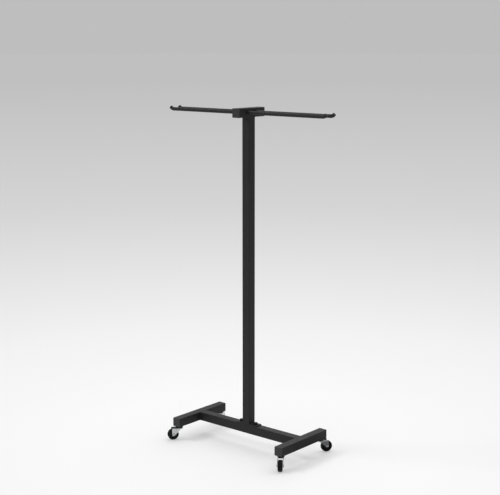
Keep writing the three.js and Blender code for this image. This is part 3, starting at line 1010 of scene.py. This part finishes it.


# Pale paper with painted light: its tone, brightest by the stand, falls off with the distance from it, and
# a share of it takes the shade
def makeStage():
    clearSelection()
    bpy.ops.mesh.primitive_circle_add(vertices=96, radius=stage["floorSize"] / 2, fill_type="NGON")
    floor = bpy.context.active_object
    floor.name = "floor"
    material = bpy.data.materials.new("floorPaper")
    material.use_nodes = True
    material.node_tree.nodes.clear()
    distance = addNode(material, "VectorMath", operation="LENGTH")
    wire(material, objectPlace(material), distance.inputs[0])
    farness = addMath(material, "ADD", distance.outputs["Value"], stage["reach"])
    nearness = addMath(material, "DIVIDE", stage["reach"], farness)
    # painted light: the ramp runs from near white by the stand to grey far away
    tones = addNode(material, "ValToRGB")
    for number, (position, tone) in enumerate(stage["tones"]):
        stops = tones.color_ramp.elements
        stop = stops[number] if number < 2 else stops.new(position)
        stop.position = position
        stop.color = (tone, tone, tone, 1)
    wire(material, nearness, tones.inputs["Fac"])
    path = addNode(material, "LightPath")
    seen = addMath(material, "MAXIMUM", path.outputs["Is Camera Ray"], path.outputs["Is Glossy Ray"])
    seen = addMath(material, "MAXIMUM", seen, path.outputs["Is Transmission Ray"])
    share = addMath(material, "MULTIPLY", seen, 1 - stage["shadeShare"])
    glow = addNode(material, "Emission")
    wire(material, tones.outputs["Color"], glow.inputs["Color"])
    wire(material, share, glow.inputs["Strength"])
    shade = addNode(material, "VectorMath", operation="SCALE")
    wire(material, tones.outputs["Color"], shade.inputs[0])
    wire(material, addMath(material, "SUBTRACT", 1.0, share), shade.inputs["Scale"])
    diffuse = addNode(material, "BsdfDiffuse")
    wire(material, shade.outputs["Vector"], diffuse.inputs["Color"])
    both = addNode(material, "AddShader")
    wire(material, diffuse.outputs["BSDF"], both.inputs[0])
    wire(material, glow.outputs["Emission"], both.inputs[1])
    output = addNode(material, "OutputMaterial")
    wire(material, both.outputs["Shader"], output.inputs["Surface"])
    floor.data.materials.append(material)


# painted shade: the tone and place of a card that only reflections see
card = {
    "low": (0.205, 0.02), "high": (0.36, 0.16), "height": 0.0006,
    "tone": 0.15, "roughness": 0.9, "metallic": 0.0, "ior": 1.5, "specular": 0.5,
}


# Painted shade: a dark card beside the right foot that shows in reflections only, standing in for the
# foot's shade on the floor, and gives the plated steel contrast
def makePaintedShadeCard():
    clearSelection()
    low, high = Vector((*card["low"], card["height"])), Vector((*card["high"], card["height"]))
    bpy.ops.mesh.primitive_plane_add(size=1, location=(low + high) / 2)
    bpy.context.active_object.scale = (high.x - low.x, high.y - low.y, 1)
    piece = settle("paintedShadeCard")
    piece.visible_camera = piece.visible_diffuse = False
    piece.visible_shadow = piece.visible_transmission = False
    material, shader = newMaterial("paintedShadeCardPaper", card)
    shader.inputs["Base Color"].default_value = (card["tone"], card["tone"], card["tone"], 1)
    shader.inputs["Roughness"].default_value = card["roughness"]
    piece.data.materials.append(material)


def makeSky():
    world = bpy.data.worlds.new("studio")
    bpy.context.scene.world = world
    world.use_nodes = True
    tree = world.node_tree
    tree.nodes.clear()
    path = tree.nodes.new("ShaderNodeLightPath")
    light = tree.nodes.new("ShaderNodeBackground")
    light.inputs["Strength"].default_value = stage["skyLight"]
    seen = tree.nodes.new("ShaderNodeBackground")
    seen.inputs["Strength"].default_value = stage["sky"]
    for background in (light, seen):
        background.inputs["Color"].default_value = (1, 1, 1, 1)
    mix = tree.nodes.new("ShaderNodeMixShader")
    output = tree.nodes.new("ShaderNodeOutputWorld")
    tree.links.new(path.outputs["Is Camera Ray"], mix.inputs["Fac"])
    tree.links.new(light.outputs["Background"], mix.inputs[1])
    tree.links.new(seen.outputs["Background"], mix.inputs[2])
    tree.links.new(mix.outputs["Shader"], output.inputs["Surface"])


# Broad lamps, far away: one high on the left in front, one high behind, one low in front as fill
def makeLamps():
    for name, lamp in lamps.items():
        clearSelection()
        bpy.ops.object.light_add(type="SUN", location=Vector(lamp["from"]) * lampDistance)
        sun = bpy.context.active_object
        sun.name = name
        sun.data.energy = lamp["power"]
        sun.data.angle = math.radians(lamp["angle"])
        sun.rotation_mode = "QUATERNION"
        sun.rotation_quaternion = (-Vector(lamp["from"])).to_track_quat("-Z", "Y")


view = {
    "place": (2.0614, -2.4274, 1.14071), "direction": (-0.63626, 0.75103, -0.17645),
    "lens": 84.59, "sensor": 36.0, "farthest": 500.0,
}


def makeCamera():
    clearSelection()
    bpy.ops.object.camera_add(location=view["place"])
    camera = bpy.context.active_object
    camera.name = "photoCamera"
    camera.data.sensor_width = view["sensor"]
    camera.data.lens = view["lens"]
    camera.data.clip_end = view["farthest"]
    camera.rotation_mode = "QUATERNION"
    camera.rotation_quaternion = Vector(view["direction"]).to_track_quat("-Z", "Y")
    bpy.context.scene.camera = camera


makeStage()
makePaintedShadeCard()
makeSky()
makeLamps()
makeCamera()
bpy.context.scene.view_settings.view_transform = "Standard"
print("stage, light and camera set")
